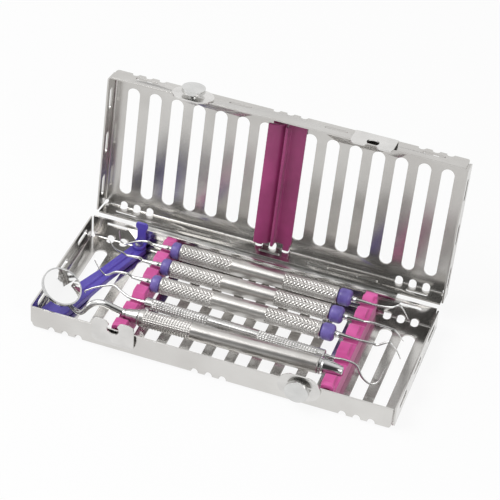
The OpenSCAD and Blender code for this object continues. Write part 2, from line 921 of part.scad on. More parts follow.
module mirror_handle() {
    color([0.8, 0.8, 0.8])
        mirror_frame()
            translate([mirror_collar_l, 0, 0])
                rotate([0, 90, 0])
                    cylinder(h = mirror_handle_l - mirror_collar_l, r = handle_r);
}

module mirror_end_cone() {
    color([0.7, 0.7, 0.7])
        mirror_frame()
            translate([mirror_handle_l, 0, 0])
                rotate([0, 90, 0])
                    cylinder(h = mirror_end_l, r1 = handle_r, r2 = handle_r / 2);
}

module mirror_head() {
    translate(mirror_at)
        rotate(mirror_tilt)
            children();
}

module mirror_stem() {
    color([0.7, 0.7, 0.7])
        mirror_frame() {
            route = smooth_route(stem_route);
            bar(route, bar_radii(len(route) - 1, stem_d / 2, stem_d, stem_end_d), [0, 1, 0]);
        }
}

module mirror_cup() {
    color([0.8, 0.8, 0.8])
        mirror_head()
            difference() {
                cylinder(h = mirror_t, d = mirror_d);
                translate([0, 0, mirror_t - 0.8])
                    cylinder(h = 2, d = mirror_d - 1.6);
            }
}

module mirror_glass() {
    color([0.95, 0.95, 0.95])
        mirror_head()
            translate([0, 0, mirror_t - 0.8])
                cylinder(h = 0.7, d = mirror_d - 1.6);
}

// Accessory arm

module accessory_arm() {
    color([0.3, 0.25, 0.65])
        translate([pivot_x, pivot_y, arm_z])
            rotate(-arm_angle)
                difference() {
                    union() {
                        cylinder(h = arm_t, d = hub_d);
                        linear_extrude(arm_t)
                            polygon([[-hub_d / 2, 0], [-arm_waist / 2, -0.4 * arm_l], [-paddle_w / 2, paddle_l - arm_l],
                                [-paddle_w / 2, -arm_l], [paddle_w / 2, -arm_l], [paddle_w / 2, paddle_l - arm_l],
                                [arm_waist / 2, -0.4 * arm_l], [hub_d / 2, 0]]);
                        translate([-0.9, -arm_l + 8, arm_t - 0.01])
                            cube([1.8, arm_l - 14, rib_h]);
                    }
                    translate([0, 0, -slack])
                        cylinder(h = arm_t + 2 * slack, d = pivot_d + 2 * run_fit);
                }
}

module arm_pivot_pin() {
    top = arm_z + arm_t + clear + lug_t + run_fit;
    color([0.7, 0.7, 0.7])
        translate([pivot_x, pivot_y, sheet]) {
            cylinder(h = top - sheet, d = pivot_d);
            translate([0, 0, top - sheet])
                cylinder(h = 0.7, d = pivot_d + 1.4);
        }
}

module arm_bracket() {
    lug_z = arm_z + arm_t + clear;
    thick = 1.5;
    face = in_w - clear;
    color([0.35, 0.3, 0.7])
        difference() {
            union() {
                translate([pivot_x, pivot_y, lug_z])
                    cylinder(h = lug_t, d = hub_d - 1);
                translate([pivot_x - (hub_d - 1) / 2, pivot_y, lug_z])
                    cube([hub_d - 1, in_w - pivot_y, lug_t]);
                translate([pivot_x - upright_w / 2, face - thick, lug_z])
                    cube([upright_w, thick, base_h + 2 - lug_z]);
                translate([pivot_x - upright_w / 2, face - thick, lug_z])
                    cube([upright_w, thick + clear, upright_w]);
                translate([pivot_x, face, 0])
                    rotate([90, 0, 0])
                        linear_extrude(thick)
                            plate_2d(thumb_w, base_h + 0.8, base_h + thumb_h, 1.5);
            }
            translate([pivot_x, pivot_y, 0])
                cylinder(h = case_l, d = pivot_d + 2 * run_fit);
        }
}

base_tray();
left_rail();
right_rail();
base_hinge_leaf();
hinge_pin();
base_latch_plate();
base_keeper_plate();
base_latch_knob();
base_latch_washer();
lid_cover();
lid_hinge_leaf();
lid_strip();
lid_latch_plate();
lid_keeper_plate();
lid_latch_knob();
lid_latch_washer();
arm_bracket();
arm_pivot_pin();
accessory_arm();
scaler_1_handle();
scaler_1_left_band();
scaler_1_right_band();
scaler_1_left_tip();
scaler_1_right_tip();
scaler_2_handle();
scaler_2_left_band();
scaler_2_right_band();
scaler_2_left_tip();
scaler_2_right_tip();
scaler_3_handle();
scaler_3_left_band();
scaler_3_right_band();
scaler_3_left_tip();
scaler_3_right_tip();
explorer_handle();
explorer_left_tip();
explorer_right_tip();
mirror_handle();
mirror_collar();
mirror_end_cone();
mirror_stem();
mirror_cup();
mirror_glass();
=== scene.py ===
import math
import bmesh
import bpy
from mathutils import Matrix, Vector


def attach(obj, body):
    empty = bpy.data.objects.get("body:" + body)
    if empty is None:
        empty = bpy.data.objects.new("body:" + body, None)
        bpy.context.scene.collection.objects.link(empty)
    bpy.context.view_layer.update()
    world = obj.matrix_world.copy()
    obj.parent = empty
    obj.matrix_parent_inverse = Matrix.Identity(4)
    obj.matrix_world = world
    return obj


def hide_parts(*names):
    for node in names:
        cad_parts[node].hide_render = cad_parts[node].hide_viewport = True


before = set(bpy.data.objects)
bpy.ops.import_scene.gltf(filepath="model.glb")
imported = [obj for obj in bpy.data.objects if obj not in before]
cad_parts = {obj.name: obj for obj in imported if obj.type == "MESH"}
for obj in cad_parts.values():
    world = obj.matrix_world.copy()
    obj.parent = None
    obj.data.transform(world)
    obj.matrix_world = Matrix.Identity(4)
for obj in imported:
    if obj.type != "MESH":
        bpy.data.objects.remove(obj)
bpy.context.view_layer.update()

# The tray is one sheet of stainless steel, punched with long slots and fold notches and folded up on
# four sides. Pickling and electropolishing leave it satin, with faint rolling grain and cloudy patches.


def socket(tree, name, kind, value=None, out=False):
    item = tree.interface.new_socket(name=name, in_out="OUTPUT" if out else "INPUT", socket_type=kind)
    if value is not None:
        item.default_value = value
    return item


def worked_surface():
    """Cloudy tint, uneven roughness and a fine stretched grain, shared by all the finishes."""
    group = bpy.data.node_groups.new("worked_surface", "ShaderNodeTree")
    socket(group, "Light Tint", "NodeSocketColor", (0.8, 0.8, 0.8, 1))
    socket(group, "Dark Tint", "NodeSocketColor", (0.6, 0.6, 0.6, 1))
    socket(group, "Patch Scale", "NodeSocketFloat", 30.0)
    socket(group, "Grain Stretch", "NodeSocketVector", (1.0, 1.0, 1.0))
    socket(group, "Grain Scale", "NodeSocketFloat", 3000.0)
    socket(group, "Roughness", "NodeSocketFloat", 0.3)
    socket(group, "Roughness Spread", "NodeSocketFloat", 0.1)
    socket(group, "Color", "NodeSocketColor", out=True)
    socket(group, "Roughness", "NodeSocketFloat", out=True)
    socket(group, "Height", "NodeSocketFloat", out=True)
    add = group.nodes.new
    link = group.links.new
    inp, out = add("NodeGroupInput"), add("NodeGroupOutput")
    place = add("ShaderNodeTexCoord")
    patches = add("ShaderNodeTexNoise")
    patches.inputs["Detail"].default_value = 4.0
    link(place.outputs["Object"], patches.inputs["Vector"])
    link(inp.outputs["Patch Scale"], patches.inputs["Scale"])
    stretch = add("ShaderNodeVectorMath")
    stretch.operation = "MULTIPLY"
    link(place.outputs["Object"], stretch.inputs[0])
    link(inp.outputs["Grain Stretch"], stretch.inputs[1])
    grain = add("ShaderNodeTexNoise")
    grain.inputs["Detail"].default_value = 3.0
    link(stretch.outputs[0], grain.inputs["Vector"])
    link(inp.outputs["Grain Scale"], grain.inputs["Scale"])
    steer = add("ShaderNodeMapRange")
    steer.inputs["From Min"].default_value = 0.32
    steer.inputs["From Max"].default_value = 0.68
    link(patches.outputs["Fac"], steer.inputs["Value"])
    mix = add("ShaderNodeMix")
    mix.data_type = "RGBA"
    link(steer.outputs["Result"], mix.inputs["Factor"])
    link(inp.outputs["Dark Tint"], mix.inputs["A"])
    link(inp.outputs["Light Tint"], mix.inputs["B"])
    link(mix.outputs["Result"], out.inputs["Color"])
    both = add("ShaderNodeMath")
    both.operation = "ADD"
    link(patches.outputs["Fac"], both.inputs[0])
    link(grain.outputs["Fac"], both.inputs[1])
    centre = add("ShaderNodeMath")
    centre.operation = "SUBTRACT"
    centre.inputs[1].default_value = 1.0
    link(both.outputs[0], centre.inputs[0])
    spread = add("ShaderNodeMath")
    spread.operation = "MULTIPLY_ADD"
    link(centre.outputs[0], spread.inputs[0])
    link(inp.outputs["Roughness Spread"], spread.inputs[1])
    link(inp.outputs["Roughness"], spread.inputs[2])
    link(spread.outputs[0], out.inputs["Roughness"])
    link(grain.outputs["Fac"], out.inputs["Height"])
    return group


SURFACE = worked_surface()


def finish(name, light, dark, rough, spread=0.1, metal=0.0, patch=30.0, grain=3000.0, stretch=(1, 1, 1),
           bump=0.1, depth=0.00002):
    """A material in one of the cassette's finishes, with its tints, grain and gloss."""
    mat = bpy.data.materials.new(name)
    mat.use_nodes = True
    nodes, links = mat.node_tree.nodes, mat.node_tree.links
    shader = nodes["Principled BSDF"]
    shader.inputs["Metallic"].default_value = metal
    group = nodes.new("ShaderNodeGroup")
    group.node_tree = SURFACE
    group.inputs["Light Tint"].default_value = (*light, 1)
    group.inputs["Dark Tint"].default_value = (*dark, 1)
    group.inputs["Patch Scale"].default_value = patch
    group.inputs["Grain Stretch"].default_value = stretch
    group.inputs["Grain Scale"].default_value = grain
    group.inputs["Roughness"].default_value = rough
    group.inputs["Roughness Spread"].default_value = spread
    links.new(group.outputs["Color"], shader.inputs["Base Color"])
    links.new(group.outputs["Roughness"], shader.inputs["Roughness"])
    relief = nodes.new("ShaderNodeBump")
    relief.inputs["Strength"].default_value = bump
    relief.inputs["Distance"].default_value = depth
    links.new(group.outputs["Height"], relief.inputs["Height"])
    links.new(relief.outputs["Normal"], shader.inputs["Normal"])
    return mat


def keep_shading(mesh, degrees=32):
    for face in mesh.polygons:
        face.use_smooth = True
    mesh.set_sharp_from_angle(angle=math.radians(degrees))


def eased_copy(node, name, width, mat, body, segments=2):
    """The CAD solid again, its loose triangles joined and its edges eased as deburring leaves them."""
    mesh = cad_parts[node].data.copy()
    mesh.name = name
    bm = bmesh.new()
    bm.from_mesh(mesh)
    bmesh.ops.remove_doubles(bm, verts=bm.verts, dist=2e-6)
    bmesh.ops.dissolve_degenerate(bm, edges=bm.edges, dist=1e-6)
    bm.to_mesh(mesh)
    bm.free()
    mesh.materials.clear()
    mesh.materials.append(mat)
    piece = bpy.data.objects.new(name, mesh)
    bpy.context.scene.collection.objects.link(piece)
    ease = piece.modifiers.new("eased edges", "BEVEL")
    ease.width = width
    ease.segments = segments
    ease.limit_method = "ANGLE"
    ease.angle_limit = math.radians(40)
    ease.use_clamp_overlap = True
    ease.harden_normals = False
    keep_shading(mesh)
    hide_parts(node)
    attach(piece, body)
    return piece


sheet_steel = finish("satin_sheet_steel", (0.7, 0.69, 0.67), (0.6, 0.585, 0.565), 0.17, 0.07, metal=1.0,
                     patch=28.0, grain=900.0, stretch=(0.25, 4.0, 4.0), bump=0.04)
eased_copy("base_tray", "tray_sheet", 0.00012, sheet_steel, "tray")

# The two rails are moulded in magenta silicone and pushed into the tray from inside. Their teeth are
# soft-edged, matte and a little dusty, and their notches carry the instruments' necks.


def moulded_copy(node, name, voxel, passes, mat, body):
    """The CAD solid remeshed finely and relaxed, so that every edge is rounded as in a soft moulding."""
    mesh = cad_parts[node].data.copy()
    mesh.name = name
    bm = bmesh.new()
    bm.from_mesh(mesh)
    bmesh.ops.remove_doubles(bm, verts=bm.verts, dist=2e-6)
    bm.to_mesh(mesh)
    bm.free()
    piece = bpy.data.objects.new(name + "_blank", mesh)
    bpy.context.scene.collection.objects.link(piece)
    skin = piece.modifiers.new("skin", "REMESH")
    skin.mode = "VOXEL"
    skin.voxel_size = voxel
    relax = piece.modifiers.new("relax", "SMOOTH")
    relax.factor = 0.5
    relax.iterations = passes
    bpy.context.view_layer.update()
    done = bpy.data.meshes.new_from_object(piece.evaluated_get(bpy.context.evaluated_depsgraph_get()))
    bpy.data.objects.remove(piece)
    done.name = name
    done.materials.clear()
    done.materials.append(mat)
    for face in done.polygons:
        face.use_smooth = True
    part = bpy.data.objects.new(name, done)
    bpy.context.scene.collection.objects.link(part)
    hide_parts(node)
    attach(part, body)
    return part


magenta = finish("magenta_silicone", (0.76, 0.12, 0.41), (0.56, 0.055, 0.27), 0.44, 0.12, patch=60.0,
                 grain=2500.0, bump=0.25, depth=0.00006)
magenta.node_tree.nodes["Principled BSDF"].inputs["Sheen Weight"].default_value = 0.25
for side in ("left", "right"):
    moulded_copy(side + "_rail", side + "_silicone_rail", 0.00035, 4, magenta, "tray")

# The pin hinge is rolled from strip: a leaf with seven knuckles is spot-welded behind the tray, one with
# six to the lid, and a drawn wire pin runs through them. Bent tongues on the lower leaf stop the lid.

hinge_steel = finish("hinge_steel", (0.6, 0.6, 0.59), (0.48, 0.48, 0.47), 0.34, 0.1, metal=1.0,
                     patch=60.0, grain=1500.0, stretch=(0.3, 3.0, 3.0), bump=0.15)
pin_steel = finish("turned_pin_steel", (0.62, 0.62, 0.61), (0.5, 0.5, 0.49), 0.25, 0.08, metal=1.0,
                   patch=120.0, grain=6000.0, stretch=(3.0, 0.3, 0.3), bump=0.1)
eased_copy("base_hinge_leaf", "tray_hinge_leaf", 0.0001, hinge_steel, "tray")
eased_copy("hinge_pin", "hinge_wire_pin", 0.00015, pin_steel, "tray")
eased_copy("lid_hinge_leaf", "upper_hinge_leaf", 0.0001, hinge_steel, "lid")

# The lid is folded from the same sheet as the tray, with longer slots, slits in both long walls, and the
# same open corners and fold notches.

lid_steel = finish("satin_lid_steel", (0.64, 0.63, 0.61), (0.52, 0.505, 0.485), 0.21, 0.1, metal=1.0,
                   patch=24.0, grain=900.0, stretch=(4.0, 0.25, 0.25), bump=0.05)
eased_copy("lid_cover", "lid_sheet", 0.00012, lid_steel, "lid")

# The strip down the middle of the lid is plum silicone: a flat flange lies on the panel, and a web and a
# curved flap press on the handles when the lid is shut. Two tabs of it pass through the fold notches.

plum = finish("plum_silicone", (0.37, 0.045, 0.18), (0.25, 0.03, 0.12), 0.36, 0.1, patch=50.0,
              grain=2500.0, bump=0.22, depth=0.00006)
plum.node_tree.nodes["Principled BSDF"].inputs["Sheen Weight"].default_value = 0.15
moulded_copy("lid_strip", "lid_hold_down_strip", 0.0004, 3, plum, "lid")

# Each latch is an oval plate spot-welded on one half, with a turning knob through it, and a keeper plate
# on the other half whose two ears slide under the knob's cap. All are bright, tumbled stainless steel.

plate_steel = finish("bright_plate_steel", (0.74, 0.73, 0.715), (0.64, 0.63, 0.615), 0.24, 0.08, metal=1.0,
                     patch=90.0, grain=2500.0, bump=0.1)
cap_steel = finish("polished_cap_steel", (0.7, 0.7, 0.69), (0.6, 0.6, 0.59), 0.14, 0.06, metal=1.0,
                   patch=120.0, grain=4000.0, bump=0.06)
for half, body in (("base", "tray"), ("lid", "lid")):
    eased_copy(half + "_latch_plate", half + "_oval_plate", 0.00018, plate_steel, body, 3)
    eased_copy(half + "_keeper_plate", half + "_keeper_ears", 0.00018, plate_steel, body, 3)
    eased_copy(half + "_latch_knob", half + "_turning_knob", 0.0004, cap_steel, half + "_latch", 3)
    eased_copy(half + "_latch_washer", half + "_knob_washer", 0.00012, pin_steel, half + "_latch")

# The swinging arm is moulded in glossy violet plastic with a rib along its back, on a steel pin that a
# bracket with a thumb tab holds at the back wall.

violet = finish("violet_plastic", (0.115, 0.085, 0.5), (0.075, 0.05, 0.36), 0.26, 0.08, patch=45.0,
                grain=1800.0, bump=0.12, depth=0.00004)
moulded_copy("accessory_arm", "violet_swing_arm", 0.0003, 3, violet, "arm")
moulded_copy("arm_bracket", "violet_thumb_bracket", 0.0002, 3, violet, "tray")
eased_copy("arm_pivot_pin", "arm_steel_pin", 0.0002, pin_steel, "tray", 3)

# The scalers' handles are hollow steel bars, turned and rolled: a diamond knurl on both ends and a plain
# middle. Each bar is a long grid wrapped round its axis, its radius following the knurl's two helices.


def math_node(tree, operation, *values):
    node = tree.nodes.new("ShaderNodeMath")
    node.operation = operation
    for place, value in enumerate(values):
        if isinstance(value, bpy.types.NodeSocket):
            tree.links.new(value, node.inputs[place])
        else:
            node.inputs[place].default_value = value
    return node.outputs[0]


def knurled_bar_tree():
    tree = bpy.data.node_groups.new("knurled_bar", "GeometryNodeTree")
    socket(tree, "Geometry", "NodeSocketGeometry")
    for name in ("Length", "Radius", "Chamfer", "First Knurl From", "First Knurl To", "Second Knurl From",
                 "Second Knurl To", "Pitch A", "Turns A", "Pitch B", "Turns B", "Depth", "Yaw"):
        socket(tree, name, "NodeSocketFloat", 0.0)
    socket(tree, "Rows", "NodeSocketInt", 100)
    socket(tree, "Columns", "NodeSocketInt", 60)
    socket(tree, "Place", "NodeSocketVector", (0.0, 0.0, 0.0))
    socket(tree, "Material", "NodeSocketMaterial")
    socket(tree, "Geometry", "NodeSocketGeometry", out=True)
    link = tree.links.new
    inp, out = tree.nodes.new("NodeGroupInput"), tree.nodes.new("NodeGroupOutput")
    grid = tree.nodes.new("GeometryNodeMeshGrid")
    grid.inputs["Size X"].default_value = 1.0
    grid.inputs["Size Y"].default_value = 1.0
    link(inp.outputs["Rows"], grid.inputs["Vertices X"])
    link(inp.outputs["Columns"], grid.inputs["Vertices Y"])
    spot = tree.nodes.new("GeometryNodeInputPosition")
    parts = tree.nodes.new("ShaderNodeSeparateXYZ")
    link(spot.outputs[0], parts.inputs[0])
    along = math_node(tree, "ADD", parts.outputs["X"], 0.5)
    around = math_node(tree, "ADD", parts.outputs["Y"], 0.5)
    step = math_node(tree, "DIVIDE", 1.0, math_node(tree, "SUBTRACT", inp.outputs["Rows"], 1.0))
    run = tree.nodes.new("ShaderNodeMapRange")
    link(along, run.inputs["Value"])
    link(step, run.inputs["From Min"])
    link(math_node(tree, "SUBTRACT", 1.0, step), run.inputs["From Max"])
    link(inp.outputs["Length"], run.inputs["To Max"])
    x = run.outputs["Result"]
    waves = []
    for letter in "AB":
        phase = math_node(tree, "ADD", math_node(tree, "DIVIDE", x, inp.outputs["Pitch " + letter]),
                          math_node(tree, "MULTIPLY", around, inp.outputs["Turns " + letter]))
        waves.append(math_node(tree, "PINGPONG", phase, 0.5))
    peak = math_node(tree, "MULTIPLY", math_node(tree, "MINIMUM", *waves), 2.0)
    cut = math_node(tree, "SUBTRACT", 1.0, math_node(tree, "POWER", peak, 0.7))
    bands = []
    for which in ("First", "Second"):
        after = math_node(tree, "GREATER_THAN", x, inp.outputs[which + " Knurl From"])
        before = math_node(tree, "LESS_THAN", x, inp.outputs[which + " Knurl To"])
        bands.append(math_node(tree, "MULTIPLY", after, before))
    mask = math_node(tree, "ADD", *bands)
    groove = math_node(tree, "MULTIPLY", math_node(tree, "MULTIPLY", cut, mask), inp.outputs["Depth"])
    near = math_node(tree, "MINIMUM", x, math_node(tree, "SUBTRACT", inp.outputs["Length"], x))
    ease = math_node(tree, "SUBTRACT", inp.outputs["Chamfer"],
                     math_node(tree, "MINIMUM", near, inp.outputs["Chamfer"]))
    radius = math_node(tree, "SUBTRACT", math_node(tree, "SUBTRACT", inp.outputs["Radius"], groove), ease)
    half = math_node(tree, "MULTIPLY", step, 0.5)
    inner = math_node(tree, "MULTIPLY", math_node(tree, "GREATER_THAN", along, half),
                      math_node(tree, "LESS_THAN", along, math_node(tree, "SUBTRACT", 1.0, half)))
    radius = math_node(tree, "MULTIPLY", radius, inner)
    turn = math_node(tree, "MULTIPLY", around, 2 * math.pi)
    wrapped = tree.nodes.new("ShaderNodeCombineXYZ")
    link(x, wrapped.inputs["X"])
    link(math_node(tree, "MULTIPLY", radius, math_node(tree, "COSINE", turn)), wrapped.inputs["Y"])
    link(math_node(tree, "MULTIPLY", radius, math_node(tree, "SINE", turn)), wrapped.inputs["Z"])
    wrap = tree.nodes.new("GeometryNodeSetPosition")
    link(grid.outputs["Mesh"], wrap.inputs["Geometry"])
    link(wrapped.outputs[0], wrap.inputs["Position"])
    weld = tree.nodes.new("GeometryNodeMergeByDistance")
    weld.inputs["Distance"].default_value = 1e-6
    link(wrap.outputs[0], weld.inputs["Geometry"])
    yaw = tree.nodes.new("ShaderNodeCombineXYZ")
    link(inp.outputs["Yaw"], yaw.inputs["Z"])
    move = tree.nodes.new("GeometryNodeTransform")
    link(weld.outputs[0], move.inputs["Geometry"])
    link(inp.outputs["Place"], move.inputs["Translation"])
    link(yaw.outputs[0], move.inputs["Rotation"])
    real = tree.nodes.new("GeometryNodeRealizeInstances")
    link(move.outputs[0], real.inputs["Geometry"])
    paint = tree.nodes.new("GeometryNodeSetMaterial")
    link(real.outputs[0], paint.inputs["Geometry"])
    link(inp.outputs["Material"], paint.inputs["Material"])
    link(paint.outputs[0], out.inputs["Geometry"])
    return tree


KNURLED_BAR = knurled_bar_tree()


def knurled_bar(name, mat, **sizes):
    """One bar made by the tree, as a plain mesh with its faces outwards."""
    base = bpy.data.objects.new(name + "_seed", bpy.data.meshes.new(name + "_seed"))
    bpy.context.scene.collection.objects.link(base)
    maker = base.modifiers.new("knurled bar", "NODES")
    maker.node_group = KNURLED_BAR
    names = {i.name: i.identifier for i in KNURLED_BAR.interface.items_tree if i.in_out == "INPUT"}
    for key, value in sizes.items():
        maker[names[key.replace("_", " ").title()]] = value
    maker[names["Material"]] = mat
    bpy.context.view_layer.update()
    mesh = bpy.data.meshes.new_from_object(base.evaluated_get(bpy.context.evaluated_depsgraph_get()))
    bpy.data.objects.remove(base)
    mesh.name = name
    bm = bmesh.new()
    bm.from_mesh(mesh)
    bmesh.ops.recalc_face_normals(bm, faces=bm.faces)
    bm.to_mesh(mesh)
    bm.free()
    keep_shading(mesh, 24)
    piece = bpy.data.objects.new(name, mesh)
    bpy.context.scene.collection.objects.link(piece)
    return piece


HANDLE_R = 0.00475
HANDLE_FROM, HANDLE_TO = -0.0497, 0.0545
AXIS_Z = 0.0128
FIRST_Y, PITCH = 0.0333, 0.0153
LEFT_BAND, RIGHT_BAND = 0.0055, 0.0075
CONE_R = 0.0019
bar_steel = finish("turned_bar_steel", (0.64, 0.625, 0.605), (0.5, 0.485, 0.465), 0.32, 0.1, metal=1.0,
                   patch=70.0, grain=3000.0, stretch=(4.0, 0.4, 0.4), bump=0.1)
for number in (1, 2, 3):
    y = FIRST_Y - (number - 1) * PITCH
    bar = knurled_bar(
        f"scaler_{number}_bar", bar_steel, length=HANDLE_TO - RIGHT_BAND - HANDLE_FROM - LEFT_BAND,
        radius=HANDLE_R, chamfer=0.0003, first_knurl_from=0.0012, first_knurl_to=0.030,
        second_knurl_from=0.0605, second_knurl_to=0.090, pitch_a=0.0021, turns_a=14.0, pitch_b=0.0021,
        turns_b=-14.0, depth=0.0004, yaw=0.0, rows=480, columns=169,
        place=(HANDLE_FROM + LEFT_BAND, y, AXIS_Z))
    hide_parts(f"scaler_{number}_handle")
    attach(bar, f"scaler_{number}")

# A violet band closes each end of a scaler's handle and tells the sets apart. It is moulded as a short
# barrel with round ends, round the root of the tip's cone.


def turned(name, profile, place, yaw, mat, body, node, sides=72):
    """A round piece turned about the X axis from a profile of (distance along, radius) points."""
    verts, faces = [], []
    for along, radius in profile:
        for k in range(sides):
            angle = 2 * math.pi * k / sides
            verts.append((along, radius * math.cos(angle), radius * math.sin(angle)))
    for row in range(len(profile) - 1):
        for k in range(sides):
            a, b = row * sides + k, row * sides + (k + 1) % sides
            faces.append((a, b, b + sides, a + sides))
    mesh = bpy.data.meshes.new(name)
    mesh.from_pydata(verts, [], faces)
    bm = bmesh.new()
    bm.from_mesh(mesh)
    bmesh.ops.remove_doubles(bm, verts=bm.verts, dist=1e-7)
    bmesh.ops.holes_fill(bm, edges=[e for e in bm.edges if e.is_boundary])
    bmesh.ops.recalc_face_normals(bm, faces=bm.faces)
    bmesh.ops.transform(bm, matrix=Matrix.Translation(place) @ Matrix.Rotation(yaw, 4, "Z"), verts=bm.verts)
    bm.to_mesh(mesh)
    bm.free()
    keep_shading(mesh, 35)
    mesh.materials.append(mat)
    piece = bpy.data.objects.new(name, mesh)
    bpy.context.scene.collection.objects.link(piece)
    if node:
        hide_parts(node)
    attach(piece, body)
    return piece


def ring_profile(length, radius, bore, ease):
    """A ring's section, round on its two outer corners, closed along its bore."""
    points = [(0.0, bore)]
    for k in range(9):
        angle = math.radians(90 * k / 8)
        points.append((ease - ease * math.cos(angle), radius - ease + ease * math.sin(angle)))
    for k in range(9):
        angle = math.radians(90 * k / 8)
        points.append((length - ease + ease * math.sin(angle), radius - ease + ease * math.cos(angle)))
    return points + [(length, bore), (0.0, bore)]


BAND_BORE = CONE_R - 0.0002
BAND_EASE = 0.002
band_violet = finish("violet_band", (0.2, 0.155, 0.48), (0.12, 0.09, 0.32), 0.3, 0.1, patch=180.0,
                     grain=2500.0, bump=0.15, depth=0.00004)
for number in (1, 2, 3):
    y = FIRST_Y - (number - 1) * PITCH
    for side, start, length in (("left", HANDLE_FROM, LEFT_BAND),
                                ("right", HANDLE_TO - RIGHT_BAND, RIGHT_BAND)):
        turned(f"scaler_{number}_{side}_ring", ring_profile(length, HANDLE_R, BAND_BORE, BAND_EASE),
               (start, y, AXIS_Z), 0.0, band_violet, f"scaler_{number}", f"scaler_{number}_{side}_band")

# Each working tip is forged and ground from one bar: a cone that screws into the handle, a slender bent
# shank, and a blade or probe that tapers to a point. The route is smoothed through the same bends.

CONE_L = 0.0115
SHANK_R, POINT_R = 0.00085, 0.00025


def smooth(points, steps):
    """A smooth curve through the points, with the given number of steps between two of them."""
    out = []
    last = len(points) - 1
    pick = lambda i: Vector(points[max(0, min(last, i))])
    for i in range(last):
        a, b, c, d = pick(i - 1), pick(i), pick(i + 1), pick(i + 2)
        for k in range(steps):
            t = k / steps
            out.append(0.5 * (2 * b + (c - a) * t + (2 * a - 5 * b + 4 * c - d) * t * t
                              + (3 * b - a - 3 * c + d) * t ** 3))
    out.append(pick(last))
    return out


def bar_mesh(name, route, radii, flat, flats, mat, sides=20):
    """A tapered bar along the route. flats gives each ring's thickness across the bend's plane."""
    verts, faces = [], []
    for i, spot in enumerate(route):
        run = (route[min(i + 1, len(route) - 1)] - route[max(i - 1, 0)]).normalized()
        n = flat.cross(run).normalized()
        b = run.cross(n)
        for k in range(sides):
            angle = 2 * math.pi * k / sides
            verts.append(spot + radii[i] * (math.cos(angle) * n + flats[i] * math.sin(angle) * b))
    for i in range(len(route) - 1):
        for k in range(sides):
            a, b = i * sides + k, i * sides + (k + 1) % sides
            faces.append((a, b, b + sides, a + sides))
    faces.append(tuple(range(sides)))
    faces.append(tuple(reversed(range((len(route) - 1) * sides, len(route) * sides))))
    mesh = bpy.data.meshes.new(name)
    mesh.from_pydata(verts, [], faces)
    bm = bmesh.new()
    bm.from_mesh(mesh)
    bmesh.ops.recalc_face_normals(bm, faces=bm.faces)
    bm.to_mesh(mesh)
    bm.free()
    keep_shading(mesh, 40)
    mesh.materials.append(mat)
    piece = bpy.data.objects.new(name, mesh)
    bpy.context.scene.collection.objects.link(piece)
    return piece


def working_tip(name, node, body, bends, way, roll, place, yaw, cone_l, wide, mat):
    """A cone with an eased root and two fine rings, then the bent shank down to its point."""
    roll = math.radians(roll)
    bent = smooth([(way * (cone_l + a / 1000), b / 1000 * math.cos(roll), b / 1000 * math.sin(roll))
                   for a, b in bends], 8)
    lead, lead_r = [], []
    for share, radius in ((0.0, wide - 0.0002), (0.02, wide), (0.09, wide), (0.105, wide - 0.0002),
                          (0.15, wide - 0.0002), (0.165, wide - 0.0001)):
        lead.append(Vector((way * cone_l * share, 0, 0)))
        lead_r.append(radius)
    for k in range(1, 9):
        t = k / 9
        lead.append(Vector((way * cone_l * (0.165 + 0.835 * t), 0, 0)))
        lead_r.append(SHANK_R + (wide - 0.0001 - SHANK_R) * (1 - t) ** 1.25)
    n = len(bent)
    radii = lead_r + [SHANK_R + (POINT_R - SHANK_R) * i / (n - 1) for i in range(n)]
    flats = [1.0] * len(lead) + [1.0 - 0.3 * max(0.0, (i / (n - 1) - 0.7) / 0.3) for i in range(n)]
    piece = bar_mesh(name, lead + bent, radii, Vector((0, -math.sin(roll), math.cos(roll))), flats, mat)
    piece.data.transform(Matrix.Translation(place) @ Matrix.Rotation(yaw, 4, "Z"))
    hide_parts(node)
    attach(piece, body)
    return piece


TIP_ROLL = 75
tip_steel = finish("ground_tip_steel", (0.68, 0.68, 0.67), (0.56, 0.56, 0.55), 0.2, 0.08, metal=1.0,
                   patch=150.0, grain=4000.0, bump=0.08)
sickle_left = [(0, 0), (3.8, 0.7), (9, -0.8), (13.5, -3.2), (16.3, -4.3), (18.5, -3.4), (19.5, -0.6),
               (20.2, 2.8)]
sickle_right = [(0, 0), (5.2, 0.4), (11.2, 1.6), (14.8, 3.8), (17.3, 2.1), (21.1, -2.8)]
curette_left = [(0, 0), (2, 1.2), (9, 0.6), (11.5, 1.4), (15.7, 2.4), (17.8, 3.8), (20.2, 6.5)]
curette_right = [(0, 0), (5, 0.8), (14.8, 0.4), (18.3, -0.3), (23, -4.9)]
scaler_left = [(0, 0), (3, 1.2), (9.2, 0.5), (12.9, -2), (15.1, -3.1), (17, -2.2), (19.7, 0.3), (22.4, 4)]
scaler_right = [(0, 0), (9.4, 0.3), (12.1, 0.2), (17.6, 3.7), (20, 2.6), (22.6, 0.4), (25.6, -4.1)]
for number, left, right in ((1, sickle_left, sickle_right), (2, curette_left, curette_right),
                            (3, scaler_left, scaler_right)):
    y = FIRST_Y - (number - 1) * PITCH
    working_tip(f"scaler_{number}_left_blade", f"scaler_{number}_left_tip", f"scaler_{number}", left, -1,
                TIP_ROLL, (HANDLE_FROM, y, AXIS_Z), 0.0, CONE_L, CONE_R, tip_steel)
    working_tip(f"scaler_{number}_right_blade", f"scaler_{number}_right_tip", f"scaler_{number}", right, 1,
                TIP_ROLL, (HANDLE_TO, y, AXIS_Z), 0.0, CONE_L, CONE_R, tip_steel)

# The explorer has a thinner steel handle with rows of small studs rolled into both ends. A fine probe,
# ground from spring steel and bent like a hook, is set into each end.

